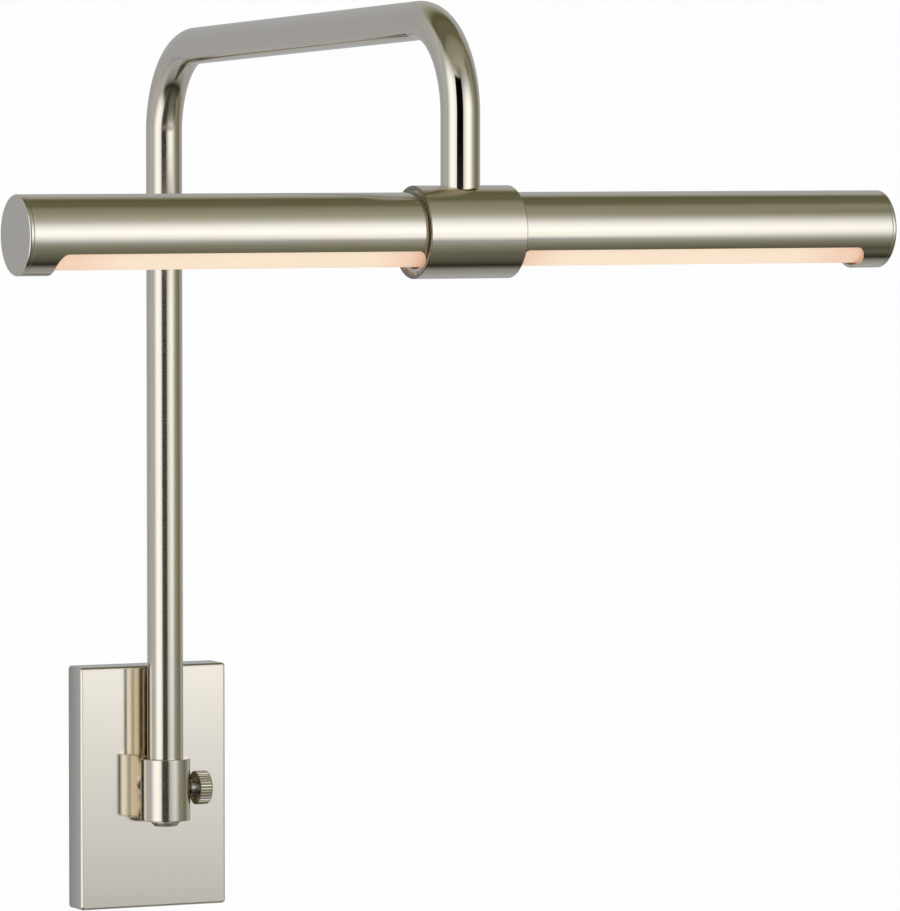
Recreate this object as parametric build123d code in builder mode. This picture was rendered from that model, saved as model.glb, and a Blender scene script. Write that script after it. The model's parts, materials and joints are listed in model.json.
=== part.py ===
from build123d import *
import os
from math import atan2, cos, degrees, pi, radians, sin

# Wall-mounted picture light, in millimetres.
# The origin is the centre of the wall plate's back face, on the wall plane y = 0.
# +Z is up, the light stands out from the wall towards -Y, and the shade lies along X.

# ---------------------------------------------------------------- driving dimensions
PLATE_WIDTH = 69.85          # 2 3/4 in
PLATE_HEIGHT = 107.95        # 4 1/4 in
PLATE_DEPTH = 14.0
PLATE_WALL = 1.6
PLATE_CORNER_R = 1.6
PLATE_EDGE_R = 1.5

STRAP_WIDTH = 19.0
STRAP_THICKNESS = 1.5
STRAP_GAP = 0.3              # between the strap's ears and the plate's inner walls
STRAP_CENTRE_HOLE_R = 6.5
BOX_SCREW_SPACING = 83.3     # device-screw spacing of a single-gang box
BOX_SLOT_LENGTH = 9.0
BOX_SLOT_WIDTH = 4.4
EAR_WIDTH = 13.0
EAR_DEPTH = 9.5
EAR_HOLE_DEPTH = 6.0         # distance of the ear holes from the wall
EAR_SCREW_R = 2.0
GROUND_SCREW_Z = 25.0
GROUND_SCREW_R = 2.0

TUBE_R = 15.875 / 2          # 5/8 in tube
TUBE_WALL = 1.25
ARM_RISE = 327.0             # axis of the forward run above the plate's centre, at the rising leg
ARM_CLIMB = 10.0             # the run climbs this much towards the head, so that it never looks sagged
ARM_REACH = 304.0            # from the rising leg's axis to the falling leg's axis
BEND_R = 38.0

HUB_STANDOFF = 13.5          # hub axis in front of the plate's face
HUB_R = 11.0
HUB_HEIGHT = 27.5
HUB_CHAMFER = 0.4
HUB_LIP = 1.5
HUB_BOSS_R = 7.0
HUB_BORE_R = 9.0
STEM_R = 5.0                 # M10 hollow stem
STEM_BORE_R = 3.5

FIT = 0.04                   # radial clearance of every running fit
BUSH_HEIGHT = 24.2
KEY_WIDTH = 4.0
KEY_DEPTH = 0.9
KEY_HALF_HEIGHT = 10.0
WIRE_WINDOW_HALF_HEIGHT = 4.0
WIRE_WINDOW_HALF_ANGLE = 48.0
HEIGHT_TRAVEL = 75.0         # the arm slides down by this much
SWIVEL_LIMIT = 25.0          # degrees each way
STOP_LUG_HALF_ANGLE = 6.0

SCREW_R = 2.5                # M5 thumbscrew
SCREW_NECK_R = 3.5
KNOB_R = 7.5
KNOB_THICKNESS = 6.0
KNOB_GAP = 3.0
KNOB_FLUTES = 32
PAD_THICKNESS = 0.9

SHADE_R = 31.75 / 2          # 1 1/4 in tube
SHADE_WALL = 1.25
SHADE_LENGTH = 381.0         # 15 in over the end caps
SHADE_Z = 251.0              # shade axis above the plate's centre
CAP_BAND = 1.85
CAP_JOINT = 0.15
CAP_CHAMFER = 0.5
CAP_SPIGOT = 5.0
WINDOW_OUTER_INSET = 13.0    # from the shade's end to the window
WINDOW_HALF_ANGLE = 62.5     # each way from straight down
WINDOW_CORNER_R = 4.0
WINDOW_LAP = 0.9             # the windows run this far under the collar's rims
TILT_LIMIT = 45.0            # degrees each way

COLLAR_LENGTH = 42.4
COLLAR_R = 18.6
COLLAR_WALL = 1.6
COLLAR_CHAMFER = 0.4
LINER_WIDTH = 8.0
LINER_INSET = 2.4

INSERT_LENGTH = 9.0
GUIDE_R = 4.0                # hollow guide nipple that limits the tilt
GUIDE_BORE_R = 2.8
GUIDE_TIP_RADIUS = 13.1      # lowest point of the guide, from the shade's axis

WIRE_R = 1.05
WIRE_OFFSET = 1.15           # half the spacing of a pair of leads

DIFFUSER_R = 13.8
DIFFUSER_WALL = 1.4
INNER_START = 9.0            # heat sinks and boards start this far from the shade's middle
SINK_R = 14.5                # rests against the shade's inner wall
SINK_FLANGE = 1.9
SINK_BOTTOM = 3.6            # heights above the shade's axis
SINK_LEDGE_TOP = 4.4
SINK_GROOVE_TOP = 5.6
SINK_WEB_TOP = 7.4
SINK_TOP = 11.0
SINK_LEDGE_WIDTH = 23.0
SINK_CORE_WIDTH = 20.4
SINK_WEB_WIDTH = 24.8
BOARD_WIDTH = 10.0
BOARD_THICKNESS = 1.2
BOARD_END = 177.0
LED_COUNT = 24
LED_PITCH = 6.5
LED_LENGTH = 3.5
LED_WIDTH = 2.8
LED_HEIGHT = 0.8
BOARD_SCREW_R = 1.0
BOARD_SCREW_HEAD_R = 1.6
BOARD_SCREW_HEAD = 1.2
BOARD_SCREW_LENGTH = 4.0
DRIVER_LENGTH = 60.0
DRIVER_WIDTH = 11.0
DRIVER_BOARD = 1.0
SMALL_WIRE_R = 0.6

# ---------------------------------------------------------------- derived places
HUB_Y = -(PLATE_DEPTH + HUB_STANDOFF)
HEAD_Y = HUB_Y - ARM_REACH
COLLAR_BORE_R = COLLAR_R - COLLAR_WALL
SHADE_INNER_R = SHADE_R - SHADE_WALL
SHADE_TUBE_LENGTH = SHADE_LENGTH - 2 * (CAP_BAND + CAP_JOINT)
WINDOW_OUTER_X = SHADE_LENGTH / 2 - WINDOW_OUTER_INSET
WINDOW_INNER_X = COLLAR_LENGTH / 2 - WINDOW_LAP
TUBE_BORE_R = TUBE_R - TUBE_WALL
TUBE_FOOT_Z = -HUB_HEIGHT / 2
SLOT_BOTTOM_Z = -KEY_HALF_HEIGHT - 0.5
SLOT_TOP_Z = KEY_HALF_HEIGHT + 0.5 + HEIGHT_TRAVEL

hub_plane = Plane(origin=(0, HUB_Y, 0), x_dir=(1, 0, 0), z_dir=(0, 0, 1))
screw_plane = Plane(origin=(0, HUB_Y, 0), x_dir=(0, 1, 0), z_dir=(1, 0, 0))
head_plane = Plane(origin=(0, HEAD_Y, SHADE_Z), x_dir=(0, 1, 0), z_dir=(1, 0, 0))
wall_plane = Plane.XZ        # its normal points out of the wall, towards -Y

os.makedirs("parts", exist_ok=True)


def save(builder, label):
    """Label a finished piece and write it to its own STEP file."""
    builder.part.label = label
    export_step(builder.part, f"parts/{label}.step")


def wedge(half_angle, direction):
    """Corners of a wide wedge about the sketch's origin, used to trim rings to an arc."""
    far = 3 * HUB_R
    spread = (direction - half_angle, direction, direction + half_angle)
    return [(0, 0)] + [(far * cos(radians(angle)), far * sin(radians(angle))) for angle in spread]


# ---------------------------------------------------------------- wall plate and strap
with BuildPart() as wall_plate:
    with BuildSketch(wall_plane):
        RectangleRounded(PLATE_WIDTH, PLATE_HEIGHT, PLATE_CORNER_R)
    extrude(amount=PLATE_DEPTH)
    fillet(wall_plate.edges().group_by(Axis.Y)[0], PLATE_EDGE_R)
    with BuildSketch(wall_plane):
        Rectangle(PLATE_WIDTH - 2 * PLATE_WALL, PLATE_HEIGHT - 2 * PLATE_WALL)
    extrude(amount=PLATE_DEPTH - PLATE_WALL, mode=Mode.SUBTRACT)
    with BuildSketch(wall_plane):
        Circle(STEM_R)
    extrude(amount=PLATE_DEPTH, mode=Mode.SUBTRACT)
    with BuildSketch(Plane.XY.offset(-PLATE_HEIGHT / 2)):
        with Locations((0, -EAR_HOLE_DEPTH)):
            Circle(EAR_SCREW_R)
    extrude(amount=PLATE_WALL, mode=Mode.SUBTRACT)
save(wall_plate, "wall_plate")

strap_half = PLATE_HEIGHT / 2 - PLATE_WALL - STRAP_GAP
with BuildPart() as mounting_strap:
    with BuildSketch(wall_plane):
        Rectangle(STRAP_WIDTH, 2 * strap_half)
        Circle(STRAP_CENTRE_HOLE_R, mode=Mode.SUBTRACT)
        with Locations((0, BOX_SCREW_SPACING / 2), (0, -BOX_SCREW_SPACING / 2)):
            SlotOverall(BOX_SLOT_LENGTH, BOX_SLOT_WIDTH, rotation=90, mode=Mode.SUBTRACT)
        with Locations((0, GROUND_SCREW_Z)):
            Circle(GROUND_SCREW_R, mode=Mode.SUBTRACT)
    extrude(amount=STRAP_THICKNESS)
    for bottom in (-strap_half, strap_half - STRAP_THICKNESS):
        with BuildSketch(Plane.XY.offset(bottom)):
            with Locations((0, -EAR_DEPTH / 2)):
                Rectangle(EAR_WIDTH, EAR_DEPTH)
        extrude(amount=STRAP_THICKNESS)
        with BuildSketch(Plane.XY.offset(bottom)):
            with Locations((0, -EAR_HOLE_DEPTH)):
                Circle(EAR_SCREW_R)
        extrude(amount=STRAP_THICKNESS, mode=Mode.SUBTRACT)
save(mounting_strap, "mounting_strap")

pin_length = STRAP_GAP + STRAP_THICKNESS + 1.2
with BuildPart() as locating_pin:
    with BuildSketch(Plane.XY.offset(PLATE_HEIGHT / 2 - PLATE_WALL - pin_length)):
        with Locations((0, -EAR_HOLE_DEPTH)):
            Circle(EAR_SCREW_R)
    extrude(amount=pin_length)
    chamfer(locating_pin.edges().group_by(Axis.Z)[0], 0.5)
save(locating_pin, "locating_pin")

set_screw_length = 6.0
with BuildPart() as plate_set_screw:
    with BuildSketch(Plane.XY.offset(-PLATE_HEIGHT / 2 + 0.1)):
        with Locations((0, -EAR_HOLE_DEPTH)):
            Circle(EAR_SCREW_R)
    extrude(amount=set_screw_length)
    chamfer(plate_set_screw.edges().group_by(Axis.Z)[-1], 0.4)
    with BuildSketch(Plane.XY.offset(-PLATE_HEIGHT / 2 + 0.1)):
        with Locations((0, -EAR_HOLE_DEPTH)):
            RegularPolygon(1.15, 6)
    extrude(amount=2.2, mode=Mode.SUBTRACT)
save(plate_set_screw, "plate_set_screw")

# ---------------------------------------------------------------- earth screw and lead
LUG_THICKNESS = 0.8
LUG_R = 4.0
with BuildPart() as ground_lug:
    with BuildSketch(wall_plane.offset(STRAP_THICKNESS)):
        with Locations((0, GROUND_SCREW_Z)):
            Circle(LUG_R)
        with Locations((0, GROUND_SCREW_Z - 5.5)):
            Rectangle(3.0, 6.0)
        with Locations((0, GROUND_SCREW_Z)):
            Circle(GROUND_SCREW_R, mode=Mode.SUBTRACT)
    extrude(amount=LUG_THICKNESS)
save(ground_lug, "ground_lug")

with BuildPart() as ground_screw:
    with BuildSketch(wall_plane):
        with Locations((0, GROUND_SCREW_Z)):
            Circle(GROUND_SCREW_R)
    extrude(amount=STRAP_THICKNESS + LUG_THICKNESS)
    with BuildSketch(wall_plane.offset(STRAP_THICKNESS + LUG_THICKNESS)):
        with Locations((0, GROUND_SCREW_Z)):
            RegularPolygon(3.9, 6)
    extrude(amount=2.4)
    with BuildSketch(wall_plane.offset(STRAP_THICKNESS + LUG_THICKNESS + 1.4)):
        with Locations((0, GROUND_SCREW_Z)):
            Rectangle(6.0, 0.9)
    extrude(amount=1.0, mode=Mode.SUBTRACT)
save(ground_screw, "ground_screw")


def leads(routes, radii, radius=WIRE_R):
    """Round leads, one solid per route, along straight runs joined by tangent arcs."""
    with BuildPart() as wires:
        for points in routes:
            with BuildLine() as route:
                FilletPolyline(*points, radius=radii)
            start = Vector(*points[0])
            with BuildSketch(Plane(origin=start, z_dir=Vector(*points[1]) - start)):
                Circle(radius)
            sweep(path=route.wires()[0])
    expected = len(routes) * pi * radius**2 * route.wires()[0].length
    print(f"lead {route.wires()[0].length:.1f} mm, radii {radii}, volume ratio {wires.part.volume / expected:.4f}")
    return wires


washer_face = PLATE_DEPTH - PLATE_WALL
WASHER_R = 8.0
WASHER_THICKNESS = 0.8
NUT_THICKNESS = 3.4
with BuildPart() as stem_washer:
    with BuildSketch(wall_plane.offset(washer_face)):
        Circle(WASHER_R)
        with Locations((0, WASHER_R + 0.7)):
            Rectangle(3.0, 4.0)
        Circle(STEM_R, mode=Mode.SUBTRACT)
        with PolarLocations(WASHER_R, 12, start_angle=15):
            Circle(0.8, mode=Mode.SUBTRACT)
    extrude(amount=-WASHER_THICKNESS)
save(stem_washer, "stem_washer")

tab_z = WASHER_R + 1.7
lug_tail_z = GROUND_SCREW_Z - 7.0
tab_y = -washer_face + WASHER_THICKNESS + WIRE_R
lug_y = -STRAP_THICKNESS - LUG_THICKNESS - WIRE_R
ground_route = [(0, lug_y, lug_tail_z), (0, lug_y, lug_tail_z - 4), (0, tab_y, tab_z + 3), (0, tab_y, tab_z - 0.6)]
ground_lead = leads([ground_route], [1.6, 1.6])
save(ground_lead, "ground_lead")

# ---------------------------------------------------------------- stem and hub
with BuildPart() as stem_nut:
    with BuildSketch(wall_plane.offset(washer_face - WASHER_THICKNESS)):
        RegularPolygon(7.0, 6, major_radius=False)
        Circle(STEM_R, mode=Mode.SUBTRACT)
    extrude(amount=-NUT_THICKNESS)
save(stem_nut, "stem_nut")

stem_back = washer_face - WASHER_THICKNESS - NUT_THICKNESS - 0.6
stem_front = -HUB_Y - HUB_BORE_R - 0.2
with BuildPart() as hollow_stem:
    with BuildSketch(wall_plane.offset(stem_back)):
        Circle(STEM_R)
        Circle(STEM_BORE_R, mode=Mode.SUBTRACT)
    extrude(amount=stem_front - stem_back)
save(hollow_stem, "hollow_stem")

clip_z = -HUB_HEIGHT / 2 + 0.5
CLIP_THICKNESS = 0.9
CLIP_GROOVE_R = HUB_BORE_R + 0.6
with BuildPart() as arm_hub:
    with BuildSketch(hub_plane.offset(-HUB_HEIGHT / 2)):
        Circle(HUB_R)
    extrude(amount=HUB_HEIGHT)
    chamfer(arm_hub.edges().filter_by(GeomType.CIRCLE), HUB_CHAMFER)
    with BuildSketch(wall_plane.offset(PLATE_DEPTH)):
        Circle(HUB_BOSS_R)
    extrude(amount=HUB_STANDOFF)
    # bore for the bush, closed to a lip at the top
    with BuildSketch(hub_plane.offset(-HUB_HEIGHT / 2)):
        Circle(HUB_BORE_R)
    extrude(amount=HUB_HEIGHT - HUB_LIP, mode=Mode.SUBTRACT)
    with BuildSketch(hub_plane.offset(HUB_HEIGHT / 2 - HUB_LIP)):
        Circle(TUBE_R + 0.15)
    extrude(amount=HUB_LIP, mode=Mode.SUBTRACT)
    # groove for the clip under the bush
    with BuildSketch(hub_plane.offset(clip_z)):
        Circle(CLIP_GROOVE_R)
    extrude(amount=CLIP_THICKNESS, mode=Mode.SUBTRACT)
    # arc recess for the bush's stop lug
    stop_z = clip_z + CLIP_THICKNESS
    STOP_HEIGHT = 3.0
    with BuildSketch(hub_plane.offset(stop_z)):
        Circle(HUB_BORE_R + 0.6)
        with BuildSketch(mode=Mode.INTERSECT):
            Polygon(*wedge(SWIVEL_LIMIT + STOP_LUG_HALF_ANGLE + 1, -90), align=None)
    extrude(amount=STOP_HEIGHT + 0.1, mode=Mode.SUBTRACT)
    # hole for the stem, and the thumbscrew's thread on the +X side
    with BuildSketch(wall_plane.offset(PLATE_DEPTH)):
        Circle(STEM_R)
    extrude(amount=stem_front - PLATE_DEPTH, mode=Mode.SUBTRACT)
    with BuildSketch(wall_plane.offset(PLATE_DEPTH)):
        Circle(STEM_BORE_R)
    extrude(amount=HUB_STANDOFF, mode=Mode.SUBTRACT)
    with BuildSketch(screw_plane):
        Circle(SCREW_R + FIT)
    extrude(amount=HUB_R, mode=Mode.SUBTRACT)
save(arm_hub, "arm_hub")

with BuildPart() as bush_clip:
    with BuildSketch(hub_plane.offset(clip_z)):
        Circle(CLIP_GROOVE_R)
        Circle(TUBE_R + 0.25, mode=Mode.SUBTRACT)
        with Locations((-HUB_BORE_R, 0)):
            Rectangle(5.0, 5.0, mode=Mode.SUBTRACT)
    extrude(amount=CLIP_THICKNESS)
save(bush_clip, "bush_clip")

# ---------------------------------------------------------------- keyed split bush
bush_bottom = clip_z + CLIP_THICKNESS + 0.05
BUSH_GROOVE_DEPTH = 0.35
BUSH_SPLIT = 1.0
with BuildPart() as arm_bush:
    with BuildSketch(hub_plane.offset(bush_bottom)):
        Circle(HUB_BORE_R - FIT)
        Circle(TUBE_R + FIT, mode=Mode.SUBTRACT)
    extrude(amount=HUB_HEIGHT / 2 - HUB_LIP - 0.05 - bush_bottom)
    # key that rides in the tube's slot
    key_inner = TUBE_R - KEY_DEPTH
    with BuildSketch(hub_plane.offset(-KEY_HALF_HEIGHT)):
        with Locations((0, (key_inner + HUB_BORE_R - 0.5) / 2)):
            Rectangle(KEY_WIDTH - 2 * FIT, HUB_BORE_R - 0.5 - key_inner)
    extrude(amount=2 * KEY_HALF_HEIGHT)
    # stop lug in the hub's recess
    with BuildSketch(hub_plane.offset(bush_bottom)):
        Circle(HUB_BORE_R + 0.5)
        Circle(TUBE_R + 0.5, mode=Mode.SUBTRACT)
        with BuildSketch(mode=Mode.INTERSECT):
            Polygon(*wedge(STOP_LUG_HALF_ANGLE, -90), align=None)
    extrude(amount=STOP_HEIGHT - 0.1)
    # groove that the clamp pad bears in
    with BuildSketch(hub_plane.offset(-SCREW_R)):
        Circle(HUB_R)
        Circle(HUB_BORE_R - FIT - BUSH_GROOVE_DEPTH, mode=Mode.SUBTRACT)
    extrude(amount=2 * SCREW_R, mode=Mode.SUBTRACT)
    # window for the leads, wide enough for the swivel
    with BuildSketch(hub_plane.offset(-WIRE_WINDOW_HALF_HEIGHT)):
        Polygon(*wedge(WIRE_WINDOW_HALF_ANGLE, 90), align=None)
    extrude(amount=2 * WIRE_WINDOW_HALF_HEIGHT, mode=Mode.SUBTRACT)
    # split on the side away from the thumbscrew
    with BuildSketch(hub_plane.offset(-HUB_HEIGHT / 2)):
        with Locations((-HUB_BORE_R, 0)):
            Rectangle(6.0, BUSH_SPLIT)
    extrude(amount=HUB_HEIGHT, mode=Mode.SUBTRACT)
save(arm_bush, "arm_bush")

# ---------------------------------------------------------------- thumbscrew
pad_face = HUB_BORE_R - FIT - BUSH_GROOVE_DEPTH + 0.05
shank_end = pad_face + PAD_THICKNESS + 0.05
PAD_PIN_R = 0.95
PAD_PIN_LENGTH = 2.4
with BuildPart() as clamp_pad:
    with BuildSketch(screw_plane.offset(pad_face)):
        Circle(SCREW_R - 0.3)
    extrude(amount=PAD_THICKNESS)
    with BuildSketch(screw_plane.offset(pad_face + PAD_THICKNESS)):
        Circle(PAD_PIN_R)
    extrude(amount=PAD_PIN_LENGTH)
save(clamp_pad, "clamp_pad")

knob_inner = HUB_R + KNOB_GAP
SHANK_IN_KNOB = 4.5
with BuildPart() as thumbscrew_shank:
    with BuildSketch(screw_plane.offset(shank_end)):
        Circle(SCREW_R)
    extrude(amount=knob_inner + SHANK_IN_KNOB - shank_end)
    with BuildSketch(screw_plane.offset(shank_end)):
        Circle(PAD_PIN_R + FIT)
    extrude(amount=PAD_PIN_LENGTH + 0.1, mode=Mode.SUBTRACT)
save(thumbscrew_shank, "thumbscrew_shank")

with BuildPart() as thumbscrew_knob:
    with BuildSketch(screw_plane.offset(knob_inner)):
        Circle(KNOB_R)
    extrude(amount=KNOB_THICKNESS)
    chamfer(thumbscrew_knob.edges().group_by(Axis.X)[-1], 1.2)
    chamfer(thumbscrew_knob.edges().group_by(Axis.X)[0], 0.4)
    with BuildSketch(screw_plane.offset(knob_inner)):
        with PolarLocations(KNOB_R + 0.1, KNOB_FLUTES):
            Circle(0.5)
    extrude(amount=KNOB_THICKNESS, mode=Mode.SUBTRACT)
    with BuildSketch(screw_plane.offset(HUB_R + 0.1)):
        Circle(SCREW_NECK_R)
    extrude(amount=KNOB_GAP)
    with BuildSketch(screw_plane.offset(HUB_R)):
        Circle(SCREW_R)
    extrude(amount=KNOB_GAP + SHANK_IN_KNOB, mode=Mode.SUBTRACT)
save(thumbscrew_knob, "thumbscrew_knob")

# ---------------------------------------------------------------- bent arm
def arm_route(foot_z, head_z, side=0.0):
    """The arm's centre line: up from the hub, forward, and down to the collar."""
    return [
        (side, HUB_Y, foot_z),
        (side, HUB_Y, ARM_RISE),
        (side, HEAD_Y, ARM_RISE + ARM_CLIMB),
        (side, HEAD_Y, head_z),
    ]


with BuildPart() as arm_tube:
    with BuildLine() as arm_line:
        FilletPolyline(*arm_route(TUBE_FOOT_Z, SHADE_Z), radius=BEND_R)
    with BuildSketch(hub_plane.offset(TUBE_FOOT_Z)):
        Circle(TUBE_R)
        Circle(TUBE_BORE_R, mode=Mode.SUBTRACT)
    sweep(path=arm_line.wires()[0])
    # the foot of the falling leg is shaped to the collar's bore
    with BuildSketch(head_plane.offset(-2 * TUBE_R)):
        Circle(COLLAR_BORE_R)
    extrude(amount=4 * TUBE_R, mode=Mode.SUBTRACT)
    # slot for the bush's key and the leads, on the wall side
    slot_plane = Plane(origin=(0, HUB_Y, (SLOT_TOP_Z + SLOT_BOTTOM_Z) / 2), x_dir=(0, 0, 1), z_dir=(0, 1, 0))
    with BuildSketch(slot_plane):
        Rectangle(SLOT_TOP_Z - SLOT_BOTTOM_Z, KEY_WIDTH)
    extrude(amount=2 * TUBE_R, mode=Mode.SUBTRACT)
save(arm_tube, "arm_tube")

PLUG_HEAD_R = 6.5
PLUG_HEAD = 2.6
PLUG_SPIGOT = 3.0
with BuildPart() as end_plug:
    with BuildSketch(hub_plane.offset(TUBE_FOOT_Z)):
        Circle(TUBE_BORE_R)
    extrude(amount=PLUG_SPIGOT)
    with BuildSketch(hub_plane.offset(TUBE_FOOT_Z - PLUG_HEAD)):
        Circle(PLUG_HEAD_R)
    extrude(amount=PLUG_HEAD)
    chamfer(end_plug.edges().group_by(Axis.Z)[0], 1.7, 1.5)
save(end_plug, "end_plug")

with BuildPart() as collar:
    with BuildSketch(head_plane.offset(-COLLAR_LENGTH / 2)):
        Circle(COLLAR_R)
    extrude(amount=COLLAR_LENGTH)
    chamfer(collar.edges().filter_by(GeomType.CIRCLE), COLLAR_CHAMFER)
    with BuildSketch(head_plane.offset(-COLLAR_LENGTH / 2)):
        Circle(COLLAR_BORE_R)
    extrude(amount=COLLAR_LENGTH, mode=Mode.SUBTRACT)
    with BuildSketch(Plane(origin=(0, HEAD_Y, SHADE_Z), x_dir=(1, 0, 0), z_dir=(0, 0, 1))):
        Circle(TUBE_R)
    extrude(amount=2 * COLLAR_R, mode=Mode.SUBTRACT)
save(collar, "collar")


def collar_liner(start_x):
    """A nylon ring between the collar and the shade, open at the bottom by a narrow split."""
    with BuildPart() as liner:
        with BuildSketch(head_plane.offset(start_x)):
            Circle(COLLAR_BORE_R)
            Circle(SHADE_R + FIT, mode=Mode.SUBTRACT)
            with Locations((0, -COLLAR_BORE_R)):
                Rectangle(1.0, 6.0, mode=Mode.SUBTRACT)
        extrude(amount=LINER_WIDTH)
    return liner


save(collar_liner(-COLLAR_LENGTH / 2 + LINER_INSET), "collar_liner_left")
save(collar_liner(COLLAR_LENGTH / 2 - LINER_INSET - LINER_WIDTH), "collar_liner_right")

# threaded insert in the falling leg, and the hollow guide that it holds
insert_foot = SHADE_Z + COLLAR_BORE_R
with BuildPart() as arm_insert:
    with BuildSketch(Plane(origin=(0, HEAD_Y, insert_foot), x_dir=(1, 0, 0), z_dir=(0, 0, 1))):
        Circle(TUBE_BORE_R)
        Circle(GUIDE_R, mode=Mode.SUBTRACT)
    extrude(amount=INSERT_LENGTH)
save(arm_insert, "arm_insert")

guide_foot = SHADE_Z + GUIDE_TIP_RADIUS
with BuildPart() as guide_nipple:
    with BuildSketch(Plane(origin=(0, HEAD_Y, guide_foot), x_dir=(1, 0, 0), z_dir=(0, 0, 1))):
        Circle(GUIDE_R)
        Circle(GUIDE_BORE_R, mode=Mode.SUBTRACT)
    extrude(amount=insert_foot + INSERT_LENGTH + 1.0 - guide_foot)
save(guide_nipple, "guide_nipple")

# ---------------------------------------------------------------- leads in the arm and plate
for side, name in ((-WIRE_OFFSET, "arm_lead_live"), (WIRE_OFFSET, "arm_lead_neutral")):
    arm_lead = leads([arm_route(SLOT_BOTTOM_Z + 6, guide_foot + 0.5, side)], [BEND_R, BEND_R])
    save(arm_lead, name)

CONNECTOR_R = 4.2
CONNECTOR_X = 8.0
CONNECTOR_LENGTH = 17.0
connector_y = -STRAP_THICKNESS - CONNECTOR_R - 0.9
connector_top = -21.0
with BuildPart() as wire_connectors:
    for side in (-1, 1):
        with BuildSketch(Plane.XY.offset(connector_top - CONNECTOR_LENGTH)):
            with Locations((side * CONNECTOR_X, connector_y)):
                Circle(CONNECTOR_R - 1.1)
        with BuildSketch(Plane.XY.offset(connector_top)):
            with Locations((side * CONNECTOR_X, connector_y)):
                Circle(CONNECTOR_R)
        loft()
save(wire_connectors, "wire_connectors")

stem_tip_y = -stem_front + 0.3
for side, level, name in ((-1, WIRE_OFFSET, "supply_lead_live"), (1, -WIRE_OFFSET, "supply_lead_neutral")):
    supply_route = [
        (0, stem_tip_y, level),
        (0, connector_y + 1.5, level),
        (side * CONNECTOR_X, connector_y, -11.0),
        (side * CONNECTOR_X, connector_y, connector_top),
    ]
    save(leads([supply_route], [3.4, 3.4]), name)

# ---------------------------------------------------------------- shade
with BuildPart() as shade_tube:
    with BuildSketch(head_plane.offset(-SHADE_TUBE_LENGTH / 2)):
        Circle(SHADE_R)
        Circle(SHADE_INNER_R, mode=Mode.SUBTRACT)
    extrude(amount=SHADE_TUBE_LENGTH)
    # two windows, cut straight up from below as far as the shade's axis
    window_width = 2 * SHADE_R * sin(radians(WINDOW_HALF_ANGLE))
    for side in (-1, 1):
        window_middle = side * (WINDOW_OUTER_X + WINDOW_INNER_X) / 2
        below = Plane(origin=(window_middle, HEAD_Y, SHADE_Z - 2 * SHADE_R), x_dir=(1, 0, 0), z_dir=(0, 0, 1))
        with BuildSketch(below):
            RectangleRounded(WINDOW_OUTER_X - WINDOW_INNER_X, window_width, WINDOW_CORNER_R)
        extrude(amount=2 * SHADE_R, mode=Mode.SUBTRACT)
    # arc slot at the top for the guide nipple
    slot_half_angle = TILT_LIMIT + degrees(atan2(GUIDE_R + 0.2, SHADE_INNER_R))
    slot_normal = Vector(0, -1, 0).rotate(Axis.X, -slot_half_angle)
    slot_start = Plane(origin=(0, HEAD_Y, SHADE_Z), x_dir=(1, 0, 0), z_dir=slot_normal)
    with BuildSketch(slot_start):
        with Locations((0, SHADE_R)):
            Rectangle(2 * GUIDE_R + 0.4, 8.0)
    shade_axis = Axis((0, HEAD_Y, SHADE_Z), (1, 0, 0))
    revolve(axis=shade_axis, revolution_arc=2 * slot_half_angle, mode=Mode.SUBTRACT)
save(shade_tube, "shade_tube")


def mirrored_start(side, near, far):
    """Lower X end of a piece that reaches from near to far on the given side of the shade's middle."""
    return near if side > 0 else -far


def end_cap(side):
    """A press-in cap: a band flush with the tube and a hollow spigot inside it."""
    outer_face = SHADE_LENGTH / 2
    inner_face = outer_face - CAP_BAND
    with BuildPart() as cap:
        with BuildSketch(head_plane.offset(mirrored_start(side, inner_face, outer_face))):
            Circle(SHADE_R)
        extrude(amount=CAP_BAND)
        outer_rim = cap.edges().sort_by(Axis.X)[-1 if side > 0 else 0]
        chamfer(outer_rim, CAP_CHAMFER)
        spigot_start = mirrored_start(side, inner_face - CAP_SPIGOT, inner_face)
        with BuildSketch(head_plane.offset(spigot_start)):
            Circle(SHADE_INNER_R)
            Circle(SHADE_INNER_R - 1.6, mode=Mode.SUBTRACT)
        extrude(amount=CAP_SPIGOT)
    return cap


def heat_sink(side):
    """Aluminium extrusion: a web over the boards, side grooves for the diffuser, flanges up the tube."""
    length = SINK_END - INNER_START
    with BuildPart() as sink:
        with BuildSketch(head_plane.offset(mirrored_start(side, INNER_START, SINK_END))):
            Circle(SINK_R)
            Circle(SINK_R - SINK_FLANGE, mode=Mode.SUBTRACT)
            with Locations((0, (SINK_GROOVE_TOP + SINK_TOP) / 2)):
                Rectangle(2 * SINK_R, SINK_TOP - SINK_GROOVE_TOP, mode=Mode.INTERSECT)
            with Locations((0, (SINK_GROOVE_TOP + SINK_WEB_TOP) / 2)):
                Rectangle(SINK_WEB_WIDTH, SINK_WEB_TOP - SINK_GROOVE_TOP)
            with Locations((0, (SINK_BOTTOM + SINK_WEB_TOP) / 2)):
                Rectangle(SINK_CORE_WIDTH, SINK_WEB_TOP - SINK_BOTTOM)
            with Locations((0, (SINK_BOTTOM + SINK_LEDGE_TOP) / 2)):
                Rectangle(SINK_LEDGE_WIDTH, SINK_LEDGE_TOP - SINK_BOTTOM)
        extrude(amount=length)
        with BuildSketch(boards_plane):
            with Locations(*board_screw_places(side)):
                Circle(BOARD_SCREW_R)
        extrude(amount=BOARD_SCREW_LENGTH - BOARD_THICKNESS, mode=Mode.SUBTRACT)
    return sink


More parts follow.
